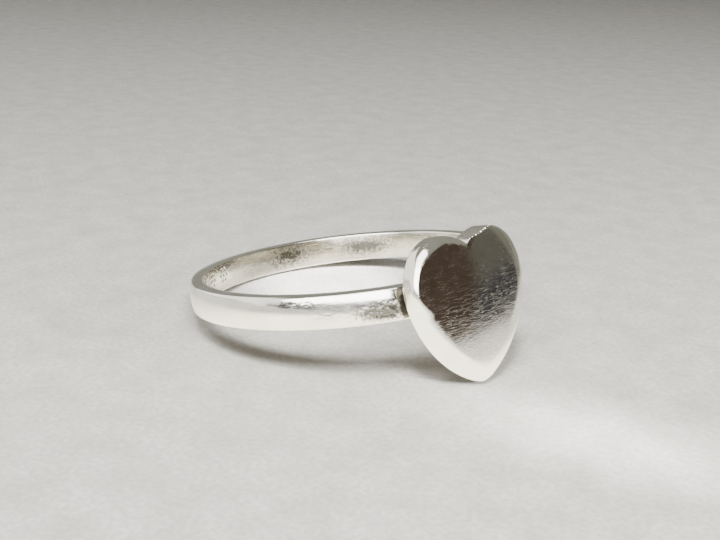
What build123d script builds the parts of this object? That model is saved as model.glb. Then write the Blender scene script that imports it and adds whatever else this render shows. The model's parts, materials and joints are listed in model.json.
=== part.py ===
"""A silver heart ring: a plain low-domed band with a thick heart plate soldered to its outside.

Millimetres, +Z up. The ring lies as it rests by itself: on the back edge of the heart's tip
and on the lower rim of the band opposite, so the heart's side is lifted. +X points from the
band to the heart, and the origin is on the table, under the middle of the ring's box.
"""

import os
from math import atan2, cos, degrees, radians, sin

from build123d import *

# Band
finger_radius = 8.65      # inside of the band, about a size 7
band_width = 1.8          # from rim to rim, along the finger
rim_wall = 0.8            # wall at the two flat rims
crown_rise = 0.13         # the outer face stands this much higher along its middle
inner_round = 0.1         # softened edges of the finger hole
outer_round = 0.08        # softened edges of the outer face

# Heart plate
heart_width = 7.75
heart_height = 8.13       # from the tip to the tops of the lobes
lobe_tops = 3.19          # tops of the lobes above the middle of the band
cleft_depth = 0.78        # from the tops of the lobes down to the notch
heart_wall = 1.25         # thickness in the middle of the face
face_radius = 38.0        # the polished face is slightly domed
face_edge_round = 0.28    # softened edge round the face
tip_round = 0.34          # the tip, seen from the front
heart_lean = 5.3          # degrees that the top of the plate leans back over the band
heart_seat = 0.08         # depth that the plate is let into the crown of the band

# Solder between the band and the plate
solder_width = 3.2
solder_share = 0.72       # of the band's width
solder_depth = 0.4

# Where the outline's arcs meet: share of the heart's width from its middle line, share of its
# height down from the tops of the lobes
outline_shares = {
    "lobe_top": (0.208, 0.0),
    "shoulder": (0.4206, 0.1023),
    "hip": (0.4936, 0.4006),
    "tip": (0.0, 1.0),
}

rim_radius = finger_radius + rim_wall
crown_radius = rim_radius + crown_rise
plate_back = crown_radius - heart_seat      # distance of the plate's back from the finger's axis
tip_drop = heart_height - lobe_tops         # tip below the band's middle, along the plate

# The lean carries the tip out and up a little; the ring then tips until tip and rim both touch
tip_out = plate_back + tip_drop * sin(radians(heart_lean))
tip_below = tip_drop * cos(radians(heart_lean))
rest_tilt = degrees(atan2(tip_below - band_width / 2, tip_out + rim_radius))

tilt = radians(rest_tilt)
ring_plane = Plane(
    origin=(0, 0, 0), x_dir=(cos(tilt), 0, sin(tilt)), z_dir=(-sin(tilt), 0, cos(tilt))
)
face_turn = tilt + radians(heart_lean)
section_plane = Plane(origin=ring_plane.origin, x_dir=ring_plane.x_dir, z_dir=-ring_plane.y_dir)
heart_plane = Plane(
    origin=ring_plane.from_local_coords(Vector(plate_back, 0, 0)),
    x_dir=(0, 1, 0),
    z_dir=(cos(face_turn), 0, sin(face_turn)),
)


def outline_point(name):
    across, down = outline_shares[name]
    return across * heart_width, lobe_tops - down * heart_height


# The heart plate: an outline of three tangent arcs a side, cut from thick sheet and domed
with BuildPart() as heart:
    with BuildSketch(heart_plane):
        with BuildLine():
            lobe = ThreePointArc(
                (0, lobe_tops - cleft_depth), outline_point("lobe_top"), outline_point("shoulder")
            )
            flank = TangentArc(outline_point("shoulder"), outline_point("hip"), tangent=lobe % 1)
            side = TangentArc(outline_point("hip"), outline_point("tip"), tangent=flank % 1)
            mirror(about=Plane.YZ)
        make_face()
        tip_corner = vertices().sort_by(Axis.Y)[0]
        fillet(tip_corner, tip_round)
    extrude(amount=heart_wall)
    plate_middle = lobe_tops - heart_height / 2
    dome_centre = heart_plane.from_local_coords(Vector(0, plate_middle, heart_wall - face_radius))
    with Locations(dome_centre):
        Sphere(face_radius, mode=Mode.INTERSECT)
    face_edges = heart.faces().filter_by(GeomType.SPHERE).sort_by(SortBy.AREA)[-1].edges()
    fillet(face_edges, face_edge_round)

# The band with its flat rims, then the heart and the solder that joins them
with BuildPart() as ring:
    with BuildSketch(section_plane):
        with BuildLine():
            half = band_width / 2
            Polyline(
                (rim_radius, -half), (finger_radius, -half), (finger_radius, half), (rim_radius, half)
            )
            ThreePointArc((rim_radius, half), (crown_radius, 0), (rim_radius, -half))
        make_face()
        corners = vertices().group_by(Axis.X)
        fillet(corners[0], inner_round)
        fillet(corners[-1], outer_round)
    revolve(axis=Axis(ring_plane.origin, ring_plane.z_dir), revolution_arc=360)
    with BuildSketch(heart_plane):
        Rectangle(solder_width, band_width * solder_share)
    extrude(amount=-solder_depth)
    add(heart.part)

# Set down on the table, with the origin under the middle of its box
box = ring.part.bounding_box()
with BuildPart() as heart_ring:
    add(Pos(-box.center().X, 0, -box.min.Z) * ring.part)

heart_ring.part.label = "heart_ring"

os.makedirs("parts", exist_ok=True)
export_step(heart_ring.part, "parts/heart_ring.step")

print("solids", len(heart_ring.part.solids()), "volume", round(heart_ring.part.volume, 2))
print("rest tilt", round(rest_tilt, 3))
print("finger's centre at", round(-box.center().X, 3), 0, round(-box.min.Z, 3))
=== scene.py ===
# A silver heart ring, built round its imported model: band, heart plate, solder, then floor and light
import json
import math
import bmesh
import bpy
import numpy as np
from mathutils import Matrix, Vector, noise
from mathutils.kdtree import KDTree


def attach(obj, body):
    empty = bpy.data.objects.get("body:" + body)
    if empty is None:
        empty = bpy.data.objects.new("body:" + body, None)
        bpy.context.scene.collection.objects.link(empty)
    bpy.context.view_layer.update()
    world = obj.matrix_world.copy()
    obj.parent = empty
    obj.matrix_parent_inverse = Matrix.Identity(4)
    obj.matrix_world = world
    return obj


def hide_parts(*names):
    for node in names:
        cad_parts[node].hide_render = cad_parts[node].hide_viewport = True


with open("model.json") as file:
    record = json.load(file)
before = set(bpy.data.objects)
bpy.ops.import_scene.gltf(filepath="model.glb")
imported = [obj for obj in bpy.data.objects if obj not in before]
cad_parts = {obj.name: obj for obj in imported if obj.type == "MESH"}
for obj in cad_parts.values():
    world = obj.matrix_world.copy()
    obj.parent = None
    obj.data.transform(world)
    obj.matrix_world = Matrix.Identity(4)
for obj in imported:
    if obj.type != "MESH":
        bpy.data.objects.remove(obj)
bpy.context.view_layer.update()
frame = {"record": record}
mm = 0.001


def linearColour(hexValue):  # sRGB hex to the linear values that the sockets take
    parts = [int(hexValue[i:i + 2], 16) / 255 for i in (1, 3, 5)]
    return [c / 12.92 if c <= 0.04045 else ((c + 0.055) / 1.055) ** 2.4 for c in parts] + [1.0]


# Inputs by name or number, each given a value, a socket, or a node for its first output
def addNode(tree, kind, settings=None, links=None):
    node = tree.nodes.new(kind)
    for name, value in (settings or {}).items():
        setattr(node, name, value)
    for name, value in (links or {}).items():
        if isinstance(value, bpy.types.Node):
            value = value.outputs[0]
        if isinstance(value, bpy.types.NodeSocket):
            tree.links.new(value, node.inputs[name])
        else:
            node.inputs[name].default_value = value
    return node


times, minus = {"operation": "MULTIPLY"}, {"operation": "SUBTRACT"}      # for math nodes


def newMaterial(name):
    mat = bpy.data.materials.new(name)
    mat.use_nodes = True
    mat.node_tree.nodes.clear()
    return mat, mat.node_tree


def newObject(name, data):
    obj = bpy.data.objects.new(name, data)
    bpy.context.scene.collection.objects.link(obj)
    return obj


def meshFrom(name, verts, faces, material):
    mesh = bpy.data.meshes.new(name)
    mesh.from_pydata([tuple(v) for v in verts], [], [tuple(f) for f in faces])
    mesh.update()
    mesh.materials.append(material)
    work = bmesh.new()
    work.from_mesh(mesh)
    bmesh.ops.recalc_face_normals(work, faces=work.faces)
    work.to_mesh(mesh)
    work.free()
    return newObject(name, mesh)


def closeRings(verts, rings, ends):  # faces from each ring of points to the next, and a fan to each end
    n, faces = len(rings[0]), []
    for a, b in zip(rings[:-1], rings[1:]):
        faces.extend((a[i], a[(i + 1) % n], b[(i + 1) % n], b[i]) for i in range(n))
    for ring, end in zip((rings[0], rings[-1]), ends):
        verts.append(end)
        faces.extend((len(verts) - 1, ring[i], ring[(i + 1) % n]) for i in range(n))
    return faces


# Where the ring lies, from the record's finger hole
finger = next(m for m in frame["record"]["mounts"] if m["name"] == "finger")
fingerCentre = Vector(finger["pos_m"])
fingerAxis = Vector(finger["axis"]).normalized()
fingerRadius = finger["dims"]["r_mm"]
sideways = Vector((0, 1, 0))
towardsHeart = sideways.cross(fingerAxis)
ringTurn = Matrix((towardsHeart, sideways, fingerAxis)).transposed()
ringToRow = Matrix.Translation(fingerCentre) @ ringTurn.to_4x4() @ Matrix.Scale(mm, 4)

# Camera, measured from the middle of the finger hole
cameraSettings = {
    "distance": 62.22,      # mm
    "azimuth": -38.83,      # degrees from the heart's side
    "elevation": 20.72,
    "heading": 140.59,      # where it looks
    "pitch": -20.51,
    "roll": 1.44,
    "focalPixels": 1034.8,
    "framePixels": 720,
}


def direction(azimuth, elevation):
    az, el = math.radians(azimuth), math.radians(elevation)
    return Vector((math.cos(el) * math.cos(az), math.cos(el) * math.sin(az), math.sin(el)))


def placeCamera(s):
    cam = newObject("camera", bpy.data.cameras.new("camera"))
    cam.location = fingerCentre + direction(s["azimuth"], s["elevation"]) * s["distance"] * mm
    turn = direction(s["heading"], s["pitch"]).to_track_quat("-Z", "Y").to_matrix()
    cam.rotation_euler = (turn @ Matrix.Rotation(math.radians(s["roll"]), 3, "Z")).to_euler()
    cam.data.sensor_width = 36
    cam.data.lens = s["focalPixels"] * 36 / s["framePixels"]
    cam.data.clip_start = 0.001
    bpy.context.scene.camera = cam


placeCamera(cameraSettings)
print("camera placed")

# Sterling silver, soldered, filed and buffed by hand: a warm near-white mirror that fine wear
# across the grain breaks up, so edges of reflections are soft and streaky. Sizes and depths are in mm.
# Real buffing marks are too fine to show at this size, so streaks and scratches are drawn coarser.
silverLooks = {
    "bandSilver": {      # drawn wire, filed and buffed: a clear mirror
        "colour": "#FAF8F0", "worn": "#ECE8DA", "roughness": 0.07, "roughnessSpread": 0.06, "grain": 0.5,
        "streakLong": 0.9, "streakAcross": 0.045, "streakDepth": 0.0015,
        "speckSize": 0.16, "speckDepth": 0.0015,
        "scratchLong": 1.4, "scratchAcross": 0.12, "scratchDepth": 0.0003, "scratchDull": 0.06,
        "pitSize": 0.04, "pitGap": 0.8, "pitDepth": 0.002,
    },
    "innerSilver": {     # hardly buffed inside, and worn by the finger: duller, and painted greyer for the shade inside the band
        "colour": "#CECABC", "worn": "#B3AE9F", "roughness": 0.13, "roughnessSpread": 0.1, "grain": 0.5,
        "streakLong": 0.9, "streakAcross": 0.06, "streakDepth": 0.0015,
        "speckSize": 0.16, "speckDepth": 0.0015,
        "scratchLong": 1.2, "scratchAcross": 0.14, "scratchDepth": 0.0005, "scratchDull": 0.15,
        "pitSize": 0.04, "pitGap": 0.8, "pitDepth": 0.002,
    },
    "heartSilver": {     # sheet, buffed to a mirror: hairline scratches and a few pits in a dark reflection
        "colour": "#FAF8F0", "worn": "#ECE8DA", "roughness": 0.06, "roughnessSpread": 0.05, "grain": 0.7,
        "streakLong": 0.55, "streakAcross": 0.05, "streakDepth": 0.0022,
        "speckSize": 0.2, "speckDepth": 0.002,
        "scratchLong": 1.1, "scratchAcross": 0.1, "scratchDepth": 0.0006, "scratchDull": 0.17,
        "pitSize": 0.055, "pitGap": 0.45, "pitDepth": 0.007,
    },
    "filedSilver": {     # left from a fine file: matt, with tooth marks
        "colour": "#EDEAE0", "worn": "#D8D3C4", "roughness": 0.26, "roughnessSpread": 0.1, "grain": 0.3,
        "streakLong": 0.5, "streakAcross": 0.06, "streakDepth": 0.005,
        "speckSize": 0.09, "speckDepth": 0.004,
        "scratchLong": 0.5, "scratchAcross": 0.08, "scratchDepth": 0.002, "scratchDull": 0.1,
        "pitSize": 0.04, "pitGap": 0.8, "pitDepth": 0.0,
    },
    "solderSilver": {    # silver solder as it ran: satin and greyish
        "colour": "#D6D2C6", "worn": "#A8A293", "roughness": 0.24, "roughnessSpread": 0.1, "grain": 0.0,
        "streakLong": 0.4, "streakAcross": 0.2, "streakDepth": 0.002,
        "speckSize": 0.12, "speckDepth": 0.002,
        "scratchLong": 0.5, "scratchAcross": 0.2, "scratchDepth": 0.0, "scratchDull": 0.0,
        "pitSize": 0.04, "pitGap": 0.8, "pitDepth": 0.0,
    },
    "sawnSilver": {      # sheet as it was sawn and pickled: rough, and painted dark grey for the shade on the plate's back
        "colour": "#7C776B", "worn": "#57534A", "roughness": 0.38, "roughnessSpread": 0.1, "grain": 0.0,
        "streakLong": 0.6, "streakAcross": 0.08, "streakDepth": 0.004,
        "speckSize": 0.12, "speckDepth": 0.003,
        "scratchLong": 0.5, "scratchAcross": 0.2, "scratchDepth": 0.0, "scratchDull": 0.0,
        "pitSize": 0.04, "pitGap": 0.8, "pitDepth": 0.0,
    },
}
silverPattern = {  # patches in mm, then where each noise value starts and ends
    "patchSize": 1.6, "patchFrom": 0.4, "patchTo": 0.75, "speckFrom": 0.35, "speckTo": 0.75,
    "scratchTo": 0.03, "scratchBend": 0.15, "stainRoughness": 0.22,
}

# Dark patches inside the band, partly tarnish and partly painted shade and dark reflection: angle from the
# heart, out from the finger hole, height, half sizes in mm, softness of the edge, how far specks break it up,
# and how dark it is
stains = [
    {"angle": 170, "out": 0, "z": 0.16, "halfLong": 2.1, "halfHigh": 0.8, "halfDeep": 0.45,
     "edge": 0.9, "breakUp": 2.4, "depth": 0.95},
    {"angle": 135, "out": 0, "z": 0.06, "halfLong": 2.9, "halfHigh": 0.7, "halfDeep": 0.45,
     "edge": 0.8, "breakUp": 1.6, "depth": 0.88},
    {"angle": 186, "out": 0, "z": -0.45, "halfLong": 5.5, "halfHigh": 0.62, "halfDeep": 2.0,
     "edge": 1.0, "breakUp": 1.2, "depth": 0.48},
    {"angle": 208, "out": 0, "z": 0.6, "halfLong": 1.5, "halfHigh": 0.2, "halfDeep": 0.45,
     "edge": 0.6, "breakUp": 1.6, "depth": 0.8},
]
# painted shade for the shaded gap in each corner between band and plate
cornerStain = {"out": 0.93, "z": -0.1, "halfLong": 0.34, "halfHigh": 1.0, "halfDeep": 0.45,
               "edge": 0.5, "breakUp": 0.5, "depth": 0.9}
seamStains = [      # painted shade, with some oxide, in both corners between band and plate and round the solder ripples
    {"angle": -21, **cornerStain}, {"angle": 21, **cornerStain},
    {"angle": -28, "out": 0.9, "z": -0.2, "halfLong": 1.9, "halfHigh": 0.68, "halfDeep": 0.45,
     "edge": 0.6, "breakUp": 1.4, "depth": 0.86},
]
# colour of tarnish and of painted shade on the band
stainColour = "#3C3A34"


def addStain(tree, place, s, noiseOut):  # how dark one patch, of tarnish and painted shade, is at each place of the band
    spot = Matrix.Rotation(math.radians(s["angle"]), 3, "Z")
    offset = spot @ Vector((fingerRadius + s["out"], 0, 0)) + Vector((0, 0, s["z"]))
    local = addNode(tree, "ShaderNodeMapping", {"vector_type": "TEXTURE"}, {
        "Vector": place.outputs["Object"], "Location": fingerCentre + ringTurn @ offset * mm,
        "Rotation": (ringTurn @ spot).to_euler(),
        "Scale": (s["halfDeep"] * mm, s["halfLong"] * mm, s["halfHigh"] * mm)})
    far = addNode(tree, "ShaderNodeVectorMath", {"operation": "LENGTH"}, {0: local.outputs["Vector"]})
    ragged = addNode(tree, "ShaderNodeMath", {"operation": "MULTIPLY_ADD"}, {
        0: noiseOut, 1: s["breakUp"], 2: far.outputs["Value"]})
    end = 1 + s["breakUp"] * 0.5      # the specks' noise is a half on average
    return addNode(tree, "ShaderNodeMapRange", {"interpolation_type": "SMOOTHSTEP"}, {
        "Value": ragged, "From Min": end - s["edge"], "From Max": end,
        "To Min": s["depth"], "To Max": 0.0})


# turn and centre give the piece's own frame, and across is the axis of it that the streaks lie over
def makeSilver(name, s, turn, centre, across, spots=()):
    mat, tree = newMaterial(name)
    pattern = silverPattern
    place = addNode(tree, "ShaderNodeTexCoord")
    size = [s["streakLong"] * mm] * 3
    size[across] = s["streakAcross"] * mm
    euler = turn.to_euler()
    streakAt = addNode(tree, "ShaderNodeMapping", {"vector_type": "TEXTURE"}, {
        "Vector": place.outputs["Object"], "Location": centre, "Rotation": euler, "Scale": size})
    streaks = addNode(tree, "ShaderNodeTexNoise", None, {
        "Vector": streakAt.outputs["Vector"], "Scale": 1.0, "Detail": 3.0, "Roughness": 0.6})
    speckAt = addNode(tree, "ShaderNodeMapping", {"vector_type": "TEXTURE"}, {
        "Vector": place.outputs["Object"], "Scale": [s["speckSize"] * mm] * 3})
    specks = addNode(tree, "ShaderNodeTexNoise", None, {
        "Vector": speckAt.outputs["Vector"], "Scale": 1.0, "Detail": 4.0, "Roughness": 0.55})
    patches = addNode(tree, "ShaderNodeTexNoise", None, {
        "Vector": place.outputs["Object"], "Scale": 1 / (pattern["patchSize"] * mm), "Detail": 2.0})
    wornShare = addNode(tree, "ShaderNodeMapRange", None, {
        "Value": patches, "From Min": pattern["patchFrom"], "From Max": pattern["patchTo"]})
    colour = addNode(tree, "ShaderNodeMix", {"data_type": "RGBA"}, {
        0: wornShare, 6: linearColour(s["colour"]), 7: linearColour(s["worn"])})
    rough = addNode(tree, "ShaderNodeMapRange", None, {
        "Value": specks, "From Min": pattern["speckFrom"], "From Max": pattern["speckTo"],
        "To Min": s["roughness"], "To Max": s["roughness"] + s["roughnessSpread"]})
    shades = [addStain(tree, place, spot, specks) for spot in spots]
    if spots:      # painted shade darkens the band's hollows too
        shades.append(addNode(tree, "ShaderNodeAttribute", {"attribute_name": "recess"}).outputs["Fac"])
    for shade in shades:
        colour = addNode(tree, "ShaderNodeMix", {"data_type": "RGBA"}, {
            0: shade, 6: colour.outputs[2], 7: linearColour(stainColour)})
        rough = addNode(tree, "ShaderNodeMath", {"operation": "MULTIPLY_ADD"}, {
            0: shade, 1: pattern["stainRoughness"], 2: rough})
    size[across] = s["scratchAcross"] * mm
    size[(across + 1) % 3] = size[(across + 2) % 3] = s["scratchLong"] * mm
    scratchAt = addNode(tree, "ShaderNodeMapping", {"vector_type": "TEXTURE"}, {
        "Vector": place.outputs["Object"], "Location": centre, "Rotation": euler, "Scale": size})
    lines = addNode(tree, "ShaderNodeTexNoise", None, {
        "Vector": scratchAt.outputs["Vector"], "Scale": 1.0, "Detail": 1.0,
        "Distortion": pattern["scratchBend"]})
    off = addNode(tree, "ShaderNodeMath", minus, {0: lines, 1: 0.5})
    fromLine = addNode(tree, "ShaderNodeMath", {"operation": "ABSOLUTE"}, {0: off})
    scratches = addNode(tree, "ShaderNodeMapRange", None, {
        "Value": fromLine, "From Min": 0.0, "From Max": pattern["scratchTo"],
        "To Min": 1.0, "To Max": 0.0})
    dulled = addNode(tree, "ShaderNodeMath", {"operation": "MULTIPLY_ADD"}, {
        0: scratches, 1: s["scratchDull"], 2: rough})
    pitAt = addNode(tree, "ShaderNodeTexVoronoi", None, {
        "Vector": place.outputs["Object"], "Scale": 1 / (s["pitGap"] * mm), "Randomness": 1.0})
    pits = addNode(tree, "ShaderNodeMapRange", {"interpolation_type": "SMOOTHSTEP"}, {
        "Value": pitAt.outputs["Distance"], "From Min": 0.0, "From Max": s["pitSize"] / s["pitGap"]})
    pitBump = addNode(tree, "ShaderNodeBump", None, {
        "Height": pits, "Strength": 1.0, "Distance": s["pitDepth"] * mm})
    scratchBump = addNode(tree, "ShaderNodeBump", {"invert": True}, {
        "Height": scratches, "Strength": 1.0, "Distance": s["scratchDepth"] * mm,
        "Normal": pitBump.outputs["Normal"]})
    streakBump = addNode(tree, "ShaderNodeBump", None, {
        "Height": streaks, "Strength": 1.0, "Distance": s["streakDepth"] * mm,
        "Normal": scratchBump.outputs["Normal"]})
    speckBump = addNode(tree, "ShaderNodeBump", None, {
        "Height": specks, "Strength": 1.0, "Distance": s["speckDepth"] * mm,
        "Normal": streakBump.outputs["Normal"]})
    upward = turn.col[across]
    grainUp = addNode(tree, "ShaderNodeCombineXYZ", None, {0: upward[0], 1: upward[1], 2: upward[2]})
    shader = addNode(tree, "ShaderNodeBsdfPrincipled", None, {
        "Base Color": colour.outputs[2], "Metallic": 1.0, "Roughness": dulled,
        "Normal": speckBump.outputs["Normal"], "Anisotropic": s["grain"], "Tangent": grainUp})
    addNode(tree, "ShaderNodeOutputMaterial", None, {"Surface": shader.outputs["BSDF"]})
    return mat


# The band: a low-domed wire bent round, made by Geometry Nodes from its section
bandSizes = {
    "rimWall": 0.8, "crownRise": 0.128, "width": 1.8, "innerCrown": 0.045,
    "innerRound": 0.12, "outerRound": 0.16, "innerReach": 0.054,      # how far out the inside's finish goes
    "cornerSteps": 6, "innerSteps": 24, "outerSteps": 36,
    "around": 680, "crowding": 0.5, "crowdedAngle": -40,      # finest where the heart is soldered on
}

# Worked places on the band: side 1 outside or -1 inside, angle from the heart, sizes in mm, and how much
# painted shade darkens the hollows
bandRelief = {
    "Solder ripples": {
        "side": 1, "angle": -27.5, "halfAngle": 9.5, "z": -0.24, "halfHeight": 0.62, "rise": 0.034,
        "dark": 1.0, "long": 0.42, "across": 0.15, "detail": 2.0, "bend": 0.9, "seed": 3.1,
    },
    "Faint ripples": {
        "side": 1, "angle": -42, "halfAngle": 11, "z": -0.1, "halfHeight": 0.5, "rise": 0.004, "dark": 0.4,
        "long": 0.6, "across": 0.2, "detail": 1.0, "bend": 0.5, "seed": 8.4,
    },
    "Edge nicks": {
        "side": 1, "angle": -54, "halfAngle": 8, "z": 0.52, "halfHeight": 0.2, "rise": 0.006, "dark": 0.3,
        "long": 0.2, "across": 0.12, "detail": 2.0, "bend": 0.3, "seed": 5.7,
    },
    "Inner scuffs left": {
        "side": -1, "angle": 171, "halfAngle": 13, "z": 0.1, "halfHeight": 0.75, "rise": 0.0035, "dark": 0.5,
        "long": 0.5, "across": 0.3, "detail": 3.0, "bend": 0.6, "seed": 1.9,
    },
    "Inner scuffs right": {
        "side": -1, "angle": 137, "halfAngle": 12, "z": 0.1, "halfHeight": 0.7, "rise": 0.003, "dark": 0.4,
        "long": 0.6, "across": 0.3, "detail": 3.0, "bend": 0.6, "seed": 6.2,
    },
}
reliefPattern = {"fadeFrom": 0.35, "noiseLow": 0.3, "noiseHigh": 0.7, "shadedFrom": -0.8}
handFinish = {"size": 2.6, "rise": 0.003}      # the file's and the buff's slow waviness, mm


def bandSection(s):  # closed curve in mm: x out from the middle of the wall, y along the finger
    wall, half, crown, inner = s["rimWall"], s["width"] / 2, s["crownRise"], s["innerCrown"]
    points = []

    def corner(cx, cy, r, first, last):
        for i in range(s["cornerSteps"] + 1):
            a = math.radians(first + (last - first) * i / s["cornerSteps"])
            points.append((cx + r * math.cos(a), cy + r * math.sin(a)))

    def dome(y):
        return wall + crown * (1 - (y / half) ** 2)

    r = s["outerRound"]
    lean = math.degrees(math.atan(2 * crown * (half - r) / half ** 2))
    touch = half - r + r * math.sin(math.radians(lean))
    cornerX = dome(touch) - r * math.cos(math.radians(lean))
    corner(cornerX, half - r, r, lean, 90)
    r2 = s["innerRound"]
    corner(inner + r2, half - r2, r2, 90, 180)
    innerHalf = half - r2
    across = np.linspace(innerHalf, -innerHalf, s["innerSteps"])[1:-1]
    points.extend((inner * (y / innerHalf) ** 2, y) for y in across)
    corner(inner + r2, -half + r2, r2, 180, 270)
    corner(cornerX, -half + r, r, 270, 360 - lean)
    points.extend((dome(y), y) for y in np.linspace(-touch, touch, s["outerSteps"])[1:-1])
    return [(x - wall / 2, y) for x, y in points]


def addRelief(tree, at, s, rise):  # one worked place's rise at each point in mm, and how much painted shade its hollows get
    turned = addNode(tree, "ShaderNodeMath", minus, {0: at["angle"], 1: math.radians(s["angle"])})
    wrapped = addNode(tree, "ShaderNodeMath", {"operation": "WRAP"}, {0: turned, 1: math.pi, 2: -math.pi})
    along = addNode(tree, "ShaderNodeMath", times, {0: wrapped, 1: at["radius"]})
    up = addNode(tree, "ShaderNodeMath", minus, {0: at["z"], 1: s["z"]})
    halfLong = math.radians(s["halfAngle"]) * fingerRadius
    total = None
    for distance, half in ((along, halfLong), (up, s["halfHeight"])):
        size = addNode(tree, "ShaderNodeMath", {"operation": "ABSOLUTE"}, {0: distance})
        fade = addNode(tree, "ShaderNodeMapRange", {"interpolation_type": "SMOOTHSTEP"}, {
            "Value": size, "From Min": half * reliefPattern["fadeFrom"], "From Max": half,
            "To Min": 1.0, "To Max": 0.0})
        total = fade if total is None else addNode(tree, "ShaderNodeMath", times, {0: total, 1: fade})
    side = addNode(tree, "ShaderNodeMath", {"operation": "GREATER_THAN" if s["side"] > 0 else "LESS_THAN"}, {
        0: at["radius"], 1: at["middle"]})
    grid = addNode(tree, "ShaderNodeCombineXYZ", None, {0: along, 1: up, 2: s["seed"]})
    shrunk = addNode(tree, "ShaderNodeVectorMath", {"operation": "DIVIDE"}, {
        0: grid, 1: (s["long"], s["across"], 1.0)})
    lumps = addNode(tree, "ShaderNodeTexNoise", None, {
        "Vector": shrunk, "Scale": 1.0, "Detail": s["detail"], "Distortion": s["bend"]})
    signed = addNode(tree, "ShaderNodeMapRange", {"clamp": False}, {
        "Value": lumps, "From Min": reliefPattern["noiseLow"],
        "From Max": reliefPattern["noiseHigh"], "To Min": -1.0, "To Max": 1.0})
    share = signed
    for factor in (total, side):
        share = addNode(tree, "ShaderNodeMath", times, {0: share, 1: factor})
    risen = addNode(tree, "ShaderNodeMath", times, {0: share, 1: rise})
    dark = addNode(tree, "ShaderNodeMapRange", None, {
        "Value": share, "From Min": 0.0, "From Max": reliefPattern["shadedFrom"],
        "To Min": 0.0, "To Max": s["dark"]})
    return risen, dark


def makeBand(s, relief, finish, material, innerMaterial):
    curve = bpy.data.curves.new("bandSection", "CURVE")
    points = bandSection(s)
    spline = curve.splines.new("POLY")
    spline.points.add(len(points) - 1)
    for point, (x, y) in zip(spline.points, points):
        point.co = (x, y, 0, 1)
    spline.use_cyclic_u = True
    section = newObject("bandSection", curve)

    tree = bpy.data.node_groups.new("bentBand", "GeometryNodeTree")
    values = {
        "Middle radius": fingerRadius + s["rimWall"] / 2, "Around": s["around"], "Section": section,
        "Crowding": s["crowding"], "Crowded angle": math.radians(s["crowdedAngle"]),
        "Finish rise": finish["rise"],
    }
    values.update((name + " rise", place["rise"]) for name, place in relief.items())
    kinds = {"Around": "NodeSocketInt", "Section": "NodeSocketObject"}
    tree.interface.new_socket("Geometry", in_out="INPUT", socket_type="NodeSocketGeometry")
    sockets = {
        name: tree.interface.new_socket(
            name, in_out="INPUT", socket_type=kinds.get(name, "NodeSocketFloat"))
        for name in values
    }
    tree.interface.new_socket("Geometry", in_out="OUTPUT", socket_type="NodeSocketGeometry")
    start = addNode(tree, "NodeGroupInput").outputs

    circle = addNode(tree, "GeometryNodeCurvePrimitiveCircle", None, {
        "Resolution": start["Around"], "Radius": 1.0})
    share = addNode(tree, "GeometryNodeSplineParameter")
    even = addNode(tree, "ShaderNodeMath", times, {0: share.outputs["Factor"], 1: 2 * math.pi})
    away = addNode(tree, "ShaderNodeMath", minus, {0: even, 1: start["Crowded angle"]})
    swing = addNode(tree, "ShaderNodeMath", {"operation": "SINE"}, {0: away})
    pull = addNode(tree, "ShaderNodeMath", times, {0: swing, 1: start["Crowding"]})
    angle = addNode(tree, "ShaderNodeMath", minus, {0: even, 1: pull})
    cosine = addNode(tree, "ShaderNodeMath", {"operation": "COSINE"}, {0: angle})
    sine = addNode(tree, "ShaderNodeMath", {"operation": "SINE"}, {0: angle})
    around = addNode(tree, "ShaderNodeCombineXYZ", None, {0: cosine, 1: sine})
    sized = addNode(tree, "ShaderNodeVectorMath", {"operation": "SCALE"}, {
        0: around, "Scale": start["Middle radius"]})
    path = addNode(tree, "GeometryNodeSetPosition", None, {
        "Geometry": circle.outputs["Curve"], "Position": sized})
    shape = addNode(tree, "GeometryNodeObjectInfo", None, {"Object": start["Section"]})
    swept = addNode(tree, "GeometryNodeCurveToMesh", None, {
        "Curve": path.outputs["Geometry"], "Profile Curve": shape.outputs["Geometry"]})

    here = addNode(tree, "GeometryNodeInputPosition")
    part = addNode(tree, "ShaderNodeSeparateXYZ", None, {0: here})
    flat = addNode(tree, "ShaderNodeCombineXYZ", None, {0: part, 1: part.outputs[1]})
    outward = addNode(tree, "ShaderNodeVectorMath", {"operation": "NORMALIZE"}, {0: flat})
    radius = addNode(tree, "ShaderNodeVectorMath", {"operation": "LENGTH"}, {0: flat})
    bearing = addNode(tree, "ShaderNodeMath", {"operation": "ARCTAN2"}, {0: part.outputs[1], 1: part})
    at = {"angle": bearing, "radius": radius.outputs["Value"], "z": part.outputs[2],
          "middle": start["Middle radius"]}
    wave = addNode(tree, "ShaderNodeTexNoise", None, {
        "Vector": here, "Scale": 1 / finish["size"], "Detail": 1.0})
    level = addNode(tree, "ShaderNodeMath", minus, {0: wave, 1: 0.5})
    total = addNode(tree, "ShaderNodeMath", times, {0: level, 1: start["Finish rise"]})
    shade = addNode(tree, "ShaderNodeMath", {"operation": "ADD"}, {0: 0.0, 1: 0.0})
    for name, place in relief.items():
        rise, dark = addRelief(tree, at, place, start[name + " rise"])
        total = addNode(tree, "ShaderNodeMath", {"operation": "ADD"}, {0: total, 1: rise})
        shade = addNode(tree, "ShaderNodeMath", {"operation": "ADD"}, {0: shade, 1: dark})
    shaded = addNode(tree, "GeometryNodeStoreNamedAttribute", {"data_type": "FLOAT", "domain": "POINT"}, {
        "Geometry": swept.outputs["Mesh"], "Name": "recess", "Value": shade})      # painted shade for the hollows
    push = addNode(tree, "ShaderNodeVectorMath", {"operation": "SCALE"}, {0: outward, "Scale": total})
    worked = addNode(tree, "GeometryNodeSetPosition", None, {
        "Geometry": shaded.outputs["Geometry"], "Offset": push})
    real = addNode(tree, "GeometryNodeRealizeInstances", None, {"Geometry": worked.outputs["Geometry"]})
    dressed = addNode(tree, "GeometryNodeSetMaterial", None, {
        "Geometry": real.outputs["Geometry"], "Material": material})
    addNode(tree, "NodeGroupOutput", None, {"Geometry": dressed.outputs["Geometry"]})

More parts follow.
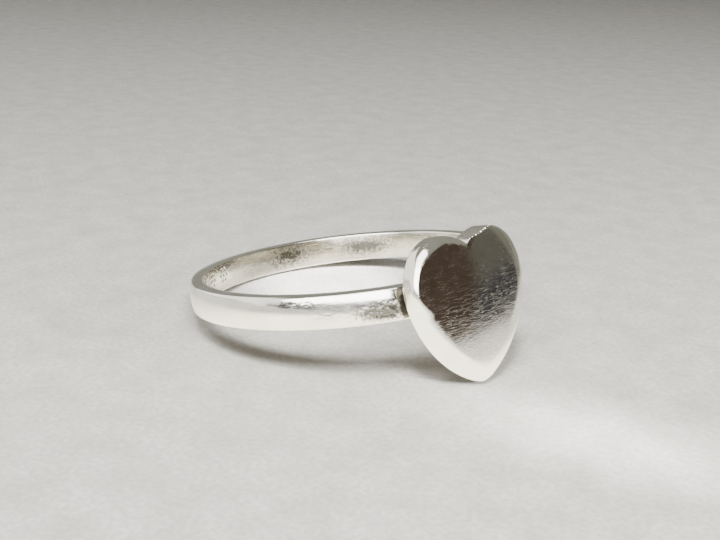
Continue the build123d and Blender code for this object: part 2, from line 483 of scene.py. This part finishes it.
    holder = newObject("bandHolder", bpy.data.meshes.new("bandHolder"))
    modifier = holder.modifiers.new("bentBand", "NODES")
    modifier.node_group = tree
    for name, value in values.items():
        modifier[sockets[name].identifier] = value
    mesh = bpy.data.meshes.new_from_object(holder.evaluated_get(bpy.context.evaluated_depsgraph_get()))
    bpy.data.objects.remove(holder)
    bpy.data.objects.remove(section)
    mesh.materials.append(innerMaterial)
    for polygon in mesh.polygons:
        out = math.hypot(polygon.center.x, polygon.center.y) - fingerRadius
        polygon.material_index = 1 if out < s["innerReach"] else 0
    return newObject("band", mesh)


# The heart plate: tangent arcs for its outline, a low-domed face and a pillowed edge, mm
heartSizes = {
    "width": 7.75, "height": 8.13, "lobeTops": 3.176, "cleftDepth": 0.68, "wall": 1.25,
    "faceRadius": 38.0, "buffing": 0.9, "backEdge": 0.08,
    "tipRound": 0.34, "lean": 5.3, "back": 9.5,       # back: from the finger's axis to the plate
    "lobeTop": (0.208, 0.0), "shoulder": (0.4206, 0.1023), "hip": (0.4936, 0.4006),
    "steps": 240, "middle": -0.4, "fineWidth": 0.85, "sideBlend": 1.2, "backReach": 0.02,
    "lobeSteps": 300, "flankSteps": 200, "sideSteps": 400, "tipSteps": 24,
    "faceRings": 45, "edgeRings": 21, "wallRings": 6, "roundRings": 5, "backRings": 7,
}
edgeRound = [  # way round from the cleft, then how far in and how deep the edge is rounded: left, right
    (0.0, 0.32, 0.06, 0.25, 0.02),
    (0.6, 0.62, 0.26, 0.35, 0.03),
    (1.2, 0.84, 0.44, 0.50, 0.05),
    (2.4, 0.90, 0.60, 0.80, 0.07),
    (3.6, 0.68, 0.56, 0.80, 0.10),
    (4.2, 0.46, 0.50, 0.78, 0.13),
    (4.8, 0.34, 0.42, 0.75, 0.17),
    (5.6, 0.25, 0.36, 0.75, 0.17),
    (6.2, 0.42, 0.44, 0.70, 0.14),
    (7.2, 0.85, 0.60, 0.70, 0.14),
    (13.0, 0.85, 0.60, 0.70, 0.14),
]
heartMarks = {  # y, up from the plate's middle, radius and depth in mm
    "pits": [(-1.26, 0.42, 0.06, 0.012), (2.59, 1.65, 0.07, 0.014), (1.59, -0.15, 0.06, 0.01),
             (-1.57, 1.42, 0.07, 0.008), (-2.54, 0.96, 0.06, 0.007), (0.32, 1.35, 0.06, 0.007),
             (1.82, -0.69, 0.05, 0.008), (-1.27, 1.78, 0.08, 0.006)],
    "waveSize": 1.1, "waveRise": 0.0022, "waveSeed": 4.2, "edgeFade": 0.15,
}
fileCut = {  # the filed flank of the cleft: a point on it (out of the plate, y, up), its rise and lean
    "point": (0.75, 0.26, 2.76), "rise": 0.25, "lean": 0.15, "end": 2.6,
    "blockBack": -0.5, "blockFront": 2, "blockHigh": 1.5,
    "nicks": 9, "nickLong": 0.15, "nickWide": 0.06, "nickStart": -0.05, "nickRun": 1.85, "seed": 11,
    "apart": (0.35, 0.65), "swing": (-0.5, 0.5), "tip": (0.3, 1.1), "sizes": (0.7, 1.2), "settle": 30,
}


def arcThrough(a, b, c, count):  # points along the arc from a through b to c, and its last direction
    a, b, c = (np.array(p, float) for p in (a, b, c))
    centre = np.linalg.solve(2 * np.array([b - a, c - a]), [b @ b - a @ a, c @ c - a @ a])
    angle = [math.atan2(*(p - centre)[::-1]) for p in (a, b, c)]
    clockwise = (b - a)[0] * (c - a)[1] < (b - a)[1] * (c - a)[0]
    turn = (angle[2] - angle[0]) % (2 * math.pi) - (2 * math.pi if clockwise else 0)
    steps = angle[0] + np.linspace(0, 1, count) * turn
    sign = -1 if clockwise else 1
    last = sign * np.array([-math.sin(steps[-1]), math.cos(steps[-1])])
    return centre + np.linalg.norm(a - centre) * np.stack([np.cos(steps), np.sin(steps)], 1), last


def tangentArc(a, heading, c, count):
    a, c = np.array(a, float), np.array(c, float)
    normal = np.array([-heading[1], heading[0]])
    radius = (c - a) @ (c - a) / (2 * (c - a) @ normal)
    centre = a + normal * radius
    middle = (a + c) / 2 - centre
    return arcThrough(a, centre + middle / np.linalg.norm(middle) * abs(radius), c, count)


def heartHalf(s):  # the outline's right side from cleft to tip
    def place(share):
        return share[0] * s["width"], s["lobeTops"] - share[1] * s["height"]

    cleft, tip = (0, s["lobeTops"] - s["cleftDepth"]), (0, s["lobeTops"] - s["height"])
    lobe, heading = arcThrough(cleft, place(s["lobeTop"]), place(s["shoulder"]), s["lobeSteps"])
    flank, heading = tangentArc(place(s["shoulder"]), heading, place(s["hip"]), s["flankSteps"])
    side, heading = tangentArc(place(s["hip"]), heading, tip, s["sideSteps"])
    outline = np.vstack([lobe, flank[1:], side[1:]])
    half = math.atan2(-heading[0], -heading[1])      # between the last of the side and straight down
    centre = np.array([0, tip[1] + s["tipRound"] / math.sin(half)])
    touch = centre + s["tipRound"] * np.array([math.cos(half), -math.sin(half)])
    sweep = np.linspace(-half, -math.pi / 2, s["tipSteps"])
    rounded = centre + s["tipRound"] * np.stack([np.cos(sweep), np.sin(sweep)], 1)
    return np.vstack([outline[outline[:, 1] > touch[1]], rounded])


def smooth(share):
    share = min(1, max(0, share))
    return share * share * (3 - 2 * share)


def curvedRow(rows, at):  # between two rows of a table, on a curve through all of them
    for i in range(len(rows) - 1):
        low, high = rows[i], rows[i + 1]
        if at <= high[0]:
            before, after = rows[max(i - 1, 0)], rows[min(i + 2, len(rows) - 1)]
            span = high[0] - low[0]
            t = (at - low[0]) / span
            result = []
            for a, b, c, d in zip(before[1:], low[1:], high[1:], after[1:]):
                leave = (c - a) / (high[0] - before[0]) * span
                reach = (d - b) / (after[0] - low[0]) * span
                value = ((2 * t ** 3 - 3 * t * t + 1) * b + (t ** 3 - 2 * t * t + t) * leave
                         + (3 * t * t - 2 * t ** 3) * c + (t ** 3 - t * t) * reach)
                result.append(min(max(value, min(b, c)), max(b, c)))      # never past either row
            return result
    return rows[-1][1:]


class HeartFace:  # how far the face stands out from the plate's back at any place on it
    def __init__(self, s, rounding, marks):
        self.s, self.rounding, self.marks = s, rounding, marks
        self.half = half = heartHalf(s)
        self.run = np.concatenate([[0], np.cumsum(np.linalg.norm(np.diff(half, axis=0), axis=1))])
        self.tree = KDTree(len(half))
        for i, p in enumerate(half):
            self.tree.insert((p[0], p[1], 0), i)
        self.tree.balance()

    # Distance from the outline, its ridge and valley buffed round, and the rounding there
    def edge(self, y, up):
        _, nearest, near = self.tree.find((abs(y), up, 0))
        far = self.tree.find((-abs(y), up, 0))[2]
        blend = max(self.s["buffing"] * near, 1e-6)
        share = max(blend - (far - near), 0) / blend
        distance = near - share * share * blend / 4
        left, leftDeep, right, rightDeep = curvedRow(self.rounding, self.run[nearest])
        side = smooth(y / self.s["sideBlend"] + 0.5)
        return distance, left + (right - left) * side, leftDeep + (rightDeep - leftDeep) * side

    def height(self, y, up):
        s = self.s
        distance, wide, deep = self.edge(y, up)
        short = min(1, max(0, 1 - distance / wide))
        drop = deep * (1 - math.sqrt(1 - short * short))
        middle = s["lobeTops"] - s["height"] / 2
        return s["wall"] - (y * y + (up - middle) ** 2) / (2 * s["faceRadius"]) - drop

    def wear(self, y, up):
        m = self.marks
        rise = m["waveRise"] * noise.noise((y / m["waveSize"], up / m["waveSize"], m["waveSeed"]))
        for py, pUp, size, depth in m["pits"]:
            away = ((y - py) ** 2 + (up - pUp) ** 2) / size ** 2
            rise -= depth * math.exp(-away) * (1 - 0.5 * away)
        return rise * min(1, self.edge(y, up)[0] / m["edgeFade"])


def makeHeart(s, face, material, backMaterial):
    half = face.half
    length = np.concatenate([[0], np.cumsum(np.linalg.norm(np.diff(half, axis=0), axis=1))])
    even = np.linspace(0, length[-1], s["steps"] + 1)
    side = np.stack([np.interp(even, length, half[:, 0]), np.interp(even, length, half[:, 1])], 1)
    edge = np.vstack([side, side[-2:0:-1] * [-1, 1]])
    count = len(edge)
    middle = np.array([0, s["middle"]])
    out = edge - middle
    reach = np.linalg.norm(out, axis=1)
    along = np.roll(edge, -1, 0) - np.roll(edge, 1, 0)
    along /= np.linalg.norm(along, axis=1)[:, None]
    slant = np.abs(along[:, 0] * out[:, 1] - along[:, 1] * out[:, 0]) / reach
    slant[0] = slant[1]

    def inset(distance):
        return 1 - distance / slant / reach

    wide = s["fineWidth"]
    levels = [share * inset(wide) for share in np.linspace(0, 1, s["faceRings"])[1:]]
    levels += [inset(wide * (1 - math.cos(a))) for a in np.radians(np.linspace(90, 0, s["edgeRings"])[1:])]
    levels = np.array(levels)
    spots = middle + out[None] * levels[:, :, None]
    top = np.array([[face.height(*p) + face.wear(*p) for p in row] for row in spots])

    verts, rings = [], []

    def addRing(points, x):
        rings.append(range(len(verts), len(verts) + count))
        verts.extend(zip(x, points[:, 0], points[:, 1]))

    for points, x in zip(spots, top):
        addRing(points, x)
    low = s["backEdge"]
    for share in np.linspace(0, 1, s["wallRings"])[1:]:
        addRing(edge, top[-1] + (low - top[-1]) * share)
    for a in np.radians(np.linspace(0, 90, s["roundRings"])[1:]):
        x = np.full(count, low * (1 - math.sin(a)))
        addRing(middle + out * inset(low * (1 - math.cos(a)))[:, None], x)
    for share in np.linspace(1, 0, s["backRings"])[1:-1]:
        addRing(middle + out * (share * inset(low))[:, None], np.zeros(count))
    faces = closeRings(verts, rings, ((top[0].mean(), *middle), (0.0, *middle)))
    plate = meshFrom("heartPlate", verts, faces, material)
    plate.data.materials.append(backMaterial)
    for polygon in plate.data.polygons:
        polygon.material_index = 1 if polygon.center.x < s["backReach"] else 0
    return plate


def makeFileCutter(s, material):  # all that the file took off stands in this block
    x0, y0, up0 = s["point"]
    verts = []
    back, front, end = s["blockBack"], s["blockFront"], s["end"]
    for lift in (0, s["blockHigh"]):
        for x, y in ((back, 0), (front, 0), (front, end), (back, end)):
            verts.append((x, y, up0 + s["rise"] * (y - y0) - s["lean"] * (x - x0) + lift))
    faces = [(0, 1, 2, 3), (4, 5, 6, 7), (0, 1, 5, 4), (1, 2, 6, 5), (2, 3, 7, 6), (3, 0, 4, 7)]
    return meshFrom("fileCutter", verts, faces, material)


def makeNicks(s, face, material):  # file teeth caught the sharp edge that the cut left
    random = np.random.default_rng(s["seed"])
    x0, y0, up0 = s["point"]
    verts, faces = [], []
    for i in range(s["nicks"]):
        y = y0 + s["nickStart"] + (i + random.uniform(*s["apart"])) * s["nickRun"] / s["nicks"]
        x = x0
        for _ in range(s["settle"]):      # where the cut meets the face
            up = up0 + s["rise"] * (y - y0) - s["lean"] * (x - x0)
            x = 0.5 * x + 0.5 * face.height(y, up)
        turn = Matrix.Rotation(random.uniform(*s["swing"]), 3, "X")
        turn = turn @ Matrix.Rotation(random.uniform(*s["tip"]), 3, "Y")
        size = Vector((s["nickLong"], s["nickWide"], s["nickWide"])) * random.uniform(*s["sizes"])
        first = len(verts)
        for axis in range(3):
            for sign in (1, -1):
                step = Vector((0, 0, 0))
                step[axis] = sign * size[axis]
                verts.append(Vector((x, y, up)) + turn @ step)
        faces += [tuple(first + k for k in f) for f in (
            (0, 2, 4), (2, 1, 4), (1, 3, 4), (3, 0, 4), (2, 0, 5), (1, 2, 5), (3, 1, 5), (0, 3, 5))]
    return meshFrom("nicks", verts, faces, material)


# The solder between band and plate: a meniscus drawn into the narrowing gap, mm
solderSizes = {
    "long": 2.0, "high": 0.74, "sink": 0.12, "inBand": 0.12, "inPlate": 0.15, "around": 96, "rows": 17,
    "endPower": 0.7, "sidePower": 0.6,      # 1 would be an ellipse, and less is squarer
}


def makeSolder(s, heart, outerRadius, material):
    verts, rings = [], []
    lean = math.tan(math.radians(heart["lean"]))
    for share in np.linspace(0, 1, s["rows"]):
        rings.append(range(len(verts), len(verts) + s["around"]))
        narrow = 1 - s["sink"] * 4 * share * (1 - share)
        for a in np.linspace(0, 2 * math.pi, s["around"], endpoint=False):
            c, d = math.cos(a), math.sin(a)
            y = s["long"] * math.copysign(abs(c) ** s["endPower"], c) * narrow
            z = s["high"] * math.copysign(abs(d) ** s["sidePower"], d) * narrow
            low = math.sqrt((outerRadius - s["inBand"]) ** 2 - y * y)
            high = heart["back"] + s["inPlate"] - z * lean
            verts.append((low + (high - low) * share, y, z))
    ends = [np.mean([verts[i] for i in ring], axis=0) for ring in (rings[0], rings[-1])]
    return meshFrom("solder", verts, closeRings(verts, rings, ends), material)


# Setting-out marks inside the band: small round punch dots in two rings of six, mm
punchMarks = {"angles": (210, 221), "z": 0.14, "ring": 0.38, "dot": 0.17, "depth": 0.1, "dots": 6}


def makePunches(s, material):
    work = bmesh.new()
    for angle in s["angles"]:
        for i in range(s["dots"] + 1):
            a = 2 * math.pi * i / s["dots"]
            r = s["ring"] if i < s["dots"] else 0
            along = math.radians(angle) + r * math.cos(a) / fingerRadius
            out = fingerRadius - s["dot"] + s["depth"]
            place = Matrix.Translation(
                (out * math.cos(along), out * math.sin(along), s["z"] + r * math.sin(a)))
            bmesh.ops.create_icosphere(work, subdivisions=2, radius=s["dot"], matrix=place)
    mesh = bpy.data.meshes.new("punches")
    work.to_mesh(mesh)
    work.free()
    mesh.materials.append(material)
    return newObject("punches", mesh)


def carve(target, tool, operation):  # joins or cuts, then drops the tool
    modifier = target.modifiers.new(tool.name, "BOOLEAN")
    modifier.operation, modifier.solver, modifier.object = operation, "EXACT", tool
    modifier.material_mode = "TRANSFER"
    mesh = bpy.data.meshes.new_from_object(target.evaluated_get(bpy.context.evaluated_depsgraph_get()))
    target.modifiers.remove(modifier)
    old = target.data
    target.data = mesh
    bpy.data.meshes.remove(old)
    bpy.data.objects.remove(tool)


heartTurn = ringTurn @ Matrix.Rotation(-math.radians(heartSizes["lean"]), 3, "Y")
heartCentre = fingerCentre + towardsHeart * heartSizes["back"] * mm
bandSilver = makeSilver("bandSilver", silverLooks["bandSilver"], ringTurn, fingerCentre, 2, seamStains)
innerSilver = makeSilver("innerSilver", silverLooks["innerSilver"], ringTurn, fingerCentre, 2, stains)
heartSilver = makeSilver("heartSilver", silverLooks["heartSilver"], heartTurn, heartCentre, 2)
filedSilver = makeSilver("filedSilver", silverLooks["filedSilver"], heartTurn, heartCentre, 0)
solderSilver = makeSilver("solderSilver", silverLooks["solderSilver"], ringTurn, fingerCentre, 2)
sawnSilver = makeSilver("sawnSilver", silverLooks["sawnSilver"], heartTurn, heartCentre, 2)

ring = makeBand(bandSizes, bandRelief, handFinish, bandSilver, innerSilver)
print("band bent", len(ring.data.polygons))

face = HeartFace(heartSizes, edgeRound, heartMarks)
heart = makeHeart(heartSizes, face, heartSilver, sawnSilver)
carve(heart, makeFileCutter(fileCut, filedSilver), "DIFFERENCE")
carve(heart, makeNicks(fileCut, face, filedSilver), "DIFFERENCE")
heart.data.transform(Matrix.Translation((heartSizes["back"], 0, 0))
                     @ Matrix.Rotation(-math.radians(heartSizes["lean"]), 4, "Y"))
print("heart filed", len(heart.data.polygons))

sharpAngle = 34      # degrees past which an edge stays crisp
outerRadius = fingerRadius + bandSizes["rimWall"] + bandSizes["crownRise"]
carve(ring, makeSolder(solderSizes, heartSizes, outerRadius, solderSilver), "UNION")
carve(ring, heart, "UNION")
carve(ring, makePunches(punchMarks, solderSilver), "DIFFERENCE")
ring.data.transform(ringToRow)
ring.name = ring.data.name = "silverRing"
ring.data.polygons.foreach_set("use_smooth", [True] * len(ring.data.polygons))
ring.data.set_sharp_from_angle(angle=math.radians(sharpAngle))
ring.data.update()
triangles = sum(len(p.vertices) - 2 for p in ring.data.polygons)
print("ring joined", len(ring.data.polygons), triangles)

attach(ring, "root")
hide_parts("heart_ring")

# Unpolished stone board, sanded flat: pale, matt, with faint clouding
floorLook = {
    "colour": "#CAC7C0", "cloud": "#B4B0A9", "grain": "#98948C", "grainShare": 0.45, "roughness": 0.8,
    "cloudSize": 2.2, "grainSize": 0.3, "grainDepth": 0.02,      # mm
    "cloudFrom": 0.35, "cloudTo": 0.7, "grainFrom": 0.35, "grainTo": 0.65,
    "half": 2.0,      # m
}


def makeFloor(s):
    mat, tree = newMaterial("paleStone")
    place = addNode(tree, "ShaderNodeTexCoord")
    cloud = addNode(tree, "ShaderNodeTexNoise", None, {
        "Vector": place.outputs["Object"], "Scale": 1 / (s["cloudSize"] * mm), "Detail": 5.0,
        "Roughness": 0.6})
    share = addNode(tree, "ShaderNodeMapRange", None, {
        "Value": cloud, "From Min": s["cloudFrom"], "From Max": s["cloudTo"]})
    colour = addNode(tree, "ShaderNodeMix", {"data_type": "RGBA"}, {
        0: share, 6: linearColour(s["colour"]), 7: linearColour(s["cloud"])})
    grain = addNode(tree, "ShaderNodeTexNoise", None, {
        "Vector": place.outputs["Object"], "Scale": 1 / (s["grainSize"] * mm), "Detail": 3.0})
    bump = addNode(tree, "ShaderNodeBump", None, {"Height": grain, "Distance": s["grainDepth"] * mm})
    mottleShare = addNode(tree, "ShaderNodeMapRange", None, {
        "Value": grain, "From Min": s["grainFrom"], "From Max": s["grainTo"],
        "To Max": s["grainShare"]})
    mottled = addNode(tree, "ShaderNodeMix", {"data_type": "RGBA"}, {
        0: mottleShare, 6: colour.outputs[2], 7: linearColour(s["grain"])})
    shader = addNode(tree, "ShaderNodeBsdfPrincipled", None, {
        "Base Color": mottled.outputs[2], "Roughness": s["roughness"], "Normal": bump.outputs["Normal"]})
    addNode(tree, "ShaderNodeOutputMaterial", None, {"Surface": shader.outputs["BSDF"]})
    h = s["half"]
    floor = meshFrom("floor", [(-h, -h, 0), (h, -h, 0), (h, h, 0), (-h, h, 0)], [(0, 1, 2, 3)], mat)


makeFloor(floorLook)

# Plain studio cards and dark flags stood round the ring, out of the picture: degrees and mm
studioCards = {
    "windowCard": {"azimuth": (-88, -12), "elevation": (12, 56), "distance": 320,
                   "colour": "#FFFFFF", "glow": 10.0},
    "overheadCard": {"azimuth": (-100, 20), "elevation": (54, 88), "distance": 330,
                     "colour": "#FFFFFB", "glow": 6.0},
    "sillCard": {"azimuth": (-75, -30), "elevation": (-0.5, 12), "distance": 320,
                 "colour": "#F5F4EC", "glow": 0.8},
    "leftCard": {"azimuth": (-180, -88), "elevation": (-0.5, 50), "distance": 330,
                 "colour": "#F8F7F0", "glow": 2.2},
    "lowFlag": {"azimuth": (-97, -62), "elevation": (0.8, 5), "distance": 300,
                "colour": "#3A3A38", "glow": 1.0},
    "warmFlag": {"azimuth": (-12, 37), "elevation": (-1.5, 43), "distance": 150, "lean": 14,
                 "colour": "#4A3E36", "glow": 1.0},
    "greyFlag": {"azimuth": (30, 52), "elevation": (7, 21), "distance": 160, "lean": 2,
                 "colour": "#5E5C54", "glow": 1.0},
    "duskFlag": {"azimuth": (30, 56), "elevation": (-1.5, 7), "distance": 158,
                 "colour": "#3E3E40", "glow": 1.0},
    "benchFlag": {"azimuth": (-36, -12), "elevation": (-0.5, 8), "distance": 155,
                  "colour": "#33322E", "glow": 1.0},
    "paleFlag": {"azimuth": (48, 64), "elevation": (-1, 26), "distance": 170,
                 "colour": "#7C7B72", "glow": 1.0},
}
cardColumns, cardRows = 13, 9


def cardGlow(tree, s):  # cards show in the silver, and the silver throws none of their light on the table
    path = addNode(tree, "ShaderNodeLightPath")
    strength = addNode(tree, "ShaderNodeMapRange", None, {
        "Value": path.outputs["Diffuse Depth"], "To Min": s["glow"], "To Max": 0.0})
    return addNode(tree, "ShaderNodeEmission", None, {
        "Color": linearColour(s["colour"]), "Strength": strength})


def makeCard(name, s):
    mat, tree = newMaterial(name)
    glow = cardGlow(tree, s)
    addNode(tree, "ShaderNodeOutputMaterial", None, {"Surface": glow.outputs["Emission"]})
    across, up = np.linspace(*s["azimuth"], cardColumns), np.linspace(*s["elevation"], cardRows)
    lean = s.get("lean", 0) / (up[-1] - up[0])      # degrees that the card's right edge gains up to its top
    span = across[-1] - across[0]
    verts = [fingerCentre + direction(a + lean * (e - up[0]) * (a - across[0]) / span, e) * s["distance"] * mm
             for e in up for a in across]
    n = len(across)
    corners = [i + j * n for j in range(len(up) - 1) for i in range(n - 1)]
    card = meshFrom(name, verts, [(i, i + 1, i + 1 + n, i + n) for i in corners], mat)
    card.visible_camera = card.visible_diffuse = card.visible_shadow = False


for name, s in studioCards.items():
    makeCard(name, s)

# Soft light
skyLook = {"colour": "#BDBDB2", "strength": 0.62}
world = bpy.data.worlds.new("studio")
bpy.context.scene.world = world
world.use_nodes = True
world.node_tree.nodes.clear()
sky = addNode(world.node_tree, "ShaderNodeBackground", None, {
    "Color": linearColour(skyLook["colour"]), "Strength": skyLook["strength"]})
addNode(world.node_tree, "ShaderNodeOutputWorld", None, {"Surface": sky.outputs["Background"]})
world.cycles_visibility.diffuse = False      # the softboxes alone light the table

softboxes = {  # power in watts, sizes in mm, azimuth and elevation from the ring
    "keySoftbox": {"azimuth": -52, "elevation": 62, "distance": 280, "size": (58, 38), "power": 0.76},
    "leftSoftbox": {"azimuth": -80, "elevation": 55, "distance": 125, "size": (34, 24), "power": 0.086},
    "rightSoftbox": {"azimuth": -16, "elevation": 49, "distance": 280, "size": (67, 54), "power": 0.6},
    "lowSoftbox": {"azimuth": 28, "elevation": 22, "distance": 110, "size": (20, 12), "power": 0.08},
    "tableSoftbox": {"azimuth": -40, "elevation": 53, "distance": 75, "size": (14, 14), "power": 0.045},
}


def placeLight(light, s, aim=(0, 0)):
    light.energy = s["power"]
    obj = newObject(light.name, light)
    towards = direction(s["azimuth"], s["elevation"])
    obj.location = Vector((*aim, 0)) * mm + towards * s["distance"] * mm
    obj.rotation_euler = towards.to_track_quat("Z", "Y").to_euler()
    obj.visible_glossy = False


def addSoftbox(name, s):
    light = bpy.data.lights.new(name, "AREA")
    light.shape = "RECTANGLE"
    light.size, light.size_y = (side * mm for side in s["size"])
    placeLight(light, s)


for name, s in softboxes.items():
    addSoftbox(name, s)

# Small spotlights where a polished ring throws the light back on to the table: mm and degrees
pinSpots = {
    "holeSpot": {"azimuth": -44, "elevation": 58, "distance": 120, "aim": (-6.5, 2.5), "cone": 5.0,
                 "blend": 0.5, "power": 4.6, "size": 2},
    "frontSpot": {"azimuth": 22, "elevation": 24, "distance": 100, "aim": (17.5, 0.5), "cone": 4.4,
                  "blend": 1.0, "power": 3.2, "size": 2},
}


def addSpot(name, s):
    light = bpy.data.lights.new(name, "SPOT")
    light.spot_size = math.radians(s["cone"])
    light.spot_blend = s["blend"]
    light.shadow_soft_size = s["size"] * mm
    placeLight(light, s, s["aim"])


for name, s in pinSpots.items():
    addSpot(name, s)

# Glowing sheets flat on the table, seen in the silver alone: a painted reflection of the table, pale and lit
# in front of the ring, black further off, mm
tableCards = {
    "bounceCard": {"aim": (11.0, -10.0), "radius": 24, "inner": 0.45, "glow": 4.2, "colour": "#FFF7E2",
                   "height": 0.003},
    "dimCard": {"aim": (18.0, -45.0), "radius": 42, "inner": 0.6, "glow": 1.25, "colour": "#F4F2E8",
                "height": 0.002},
    "farCard": {"aim": (125.0, 58.0), "radius": 96, "inner": 0.3, "glow": 1.0, "colour": "#2B2A28",
                "height": 0.003},
}
cardCorners = 48


def makeTableCard(name, s):
    mat, tree = newMaterial(name)
    place = addNode(tree, "ShaderNodeTexCoord")
    local = addNode(tree, "ShaderNodeMapping", {"vector_type": "TEXTURE"}, {
        "Vector": place.outputs["Object"], "Location": Vector((*s["aim"], s["height"])) * mm,
        "Scale": [s["radius"] * mm] * 3})
    far = addNode(tree, "ShaderNodeVectorMath", {"operation": "LENGTH"}, {0: local.outputs["Vector"]})
    share = addNode(tree, "ShaderNodeMapRange", {"interpolation_type": "SMOOTHSTEP"}, {
        "Value": far.outputs["Value"], "From Min": s["inner"], "From Max": 1.0, "To Min": 1.0, "To Max": 0.0})
    clear = addNode(tree, "ShaderNodeBsdfTransparent")
    glow = cardGlow(tree, s)
    both = addNode(tree, "ShaderNodeMixShader", None, {0: share, 1: clear, 2: glow})
    addNode(tree, "ShaderNodeOutputMaterial", None, {"Surface": both})
    x, y = s["aim"]
    r = s["radius"]
    verts = [Vector((x + r * math.cos(a), y + r * math.sin(a), s["height"])) * mm
             for a in np.linspace(0, 2 * math.pi, cardCorners, endpoint=False)]
    card = meshFrom(name, verts, [tuple(range(cardCorners))], mat)
    card.visible_camera = card.visible_diffuse = card.visible_shadow = False


for name, s in tableCards.items():
    makeTableCard(name, s)
print("stage set")
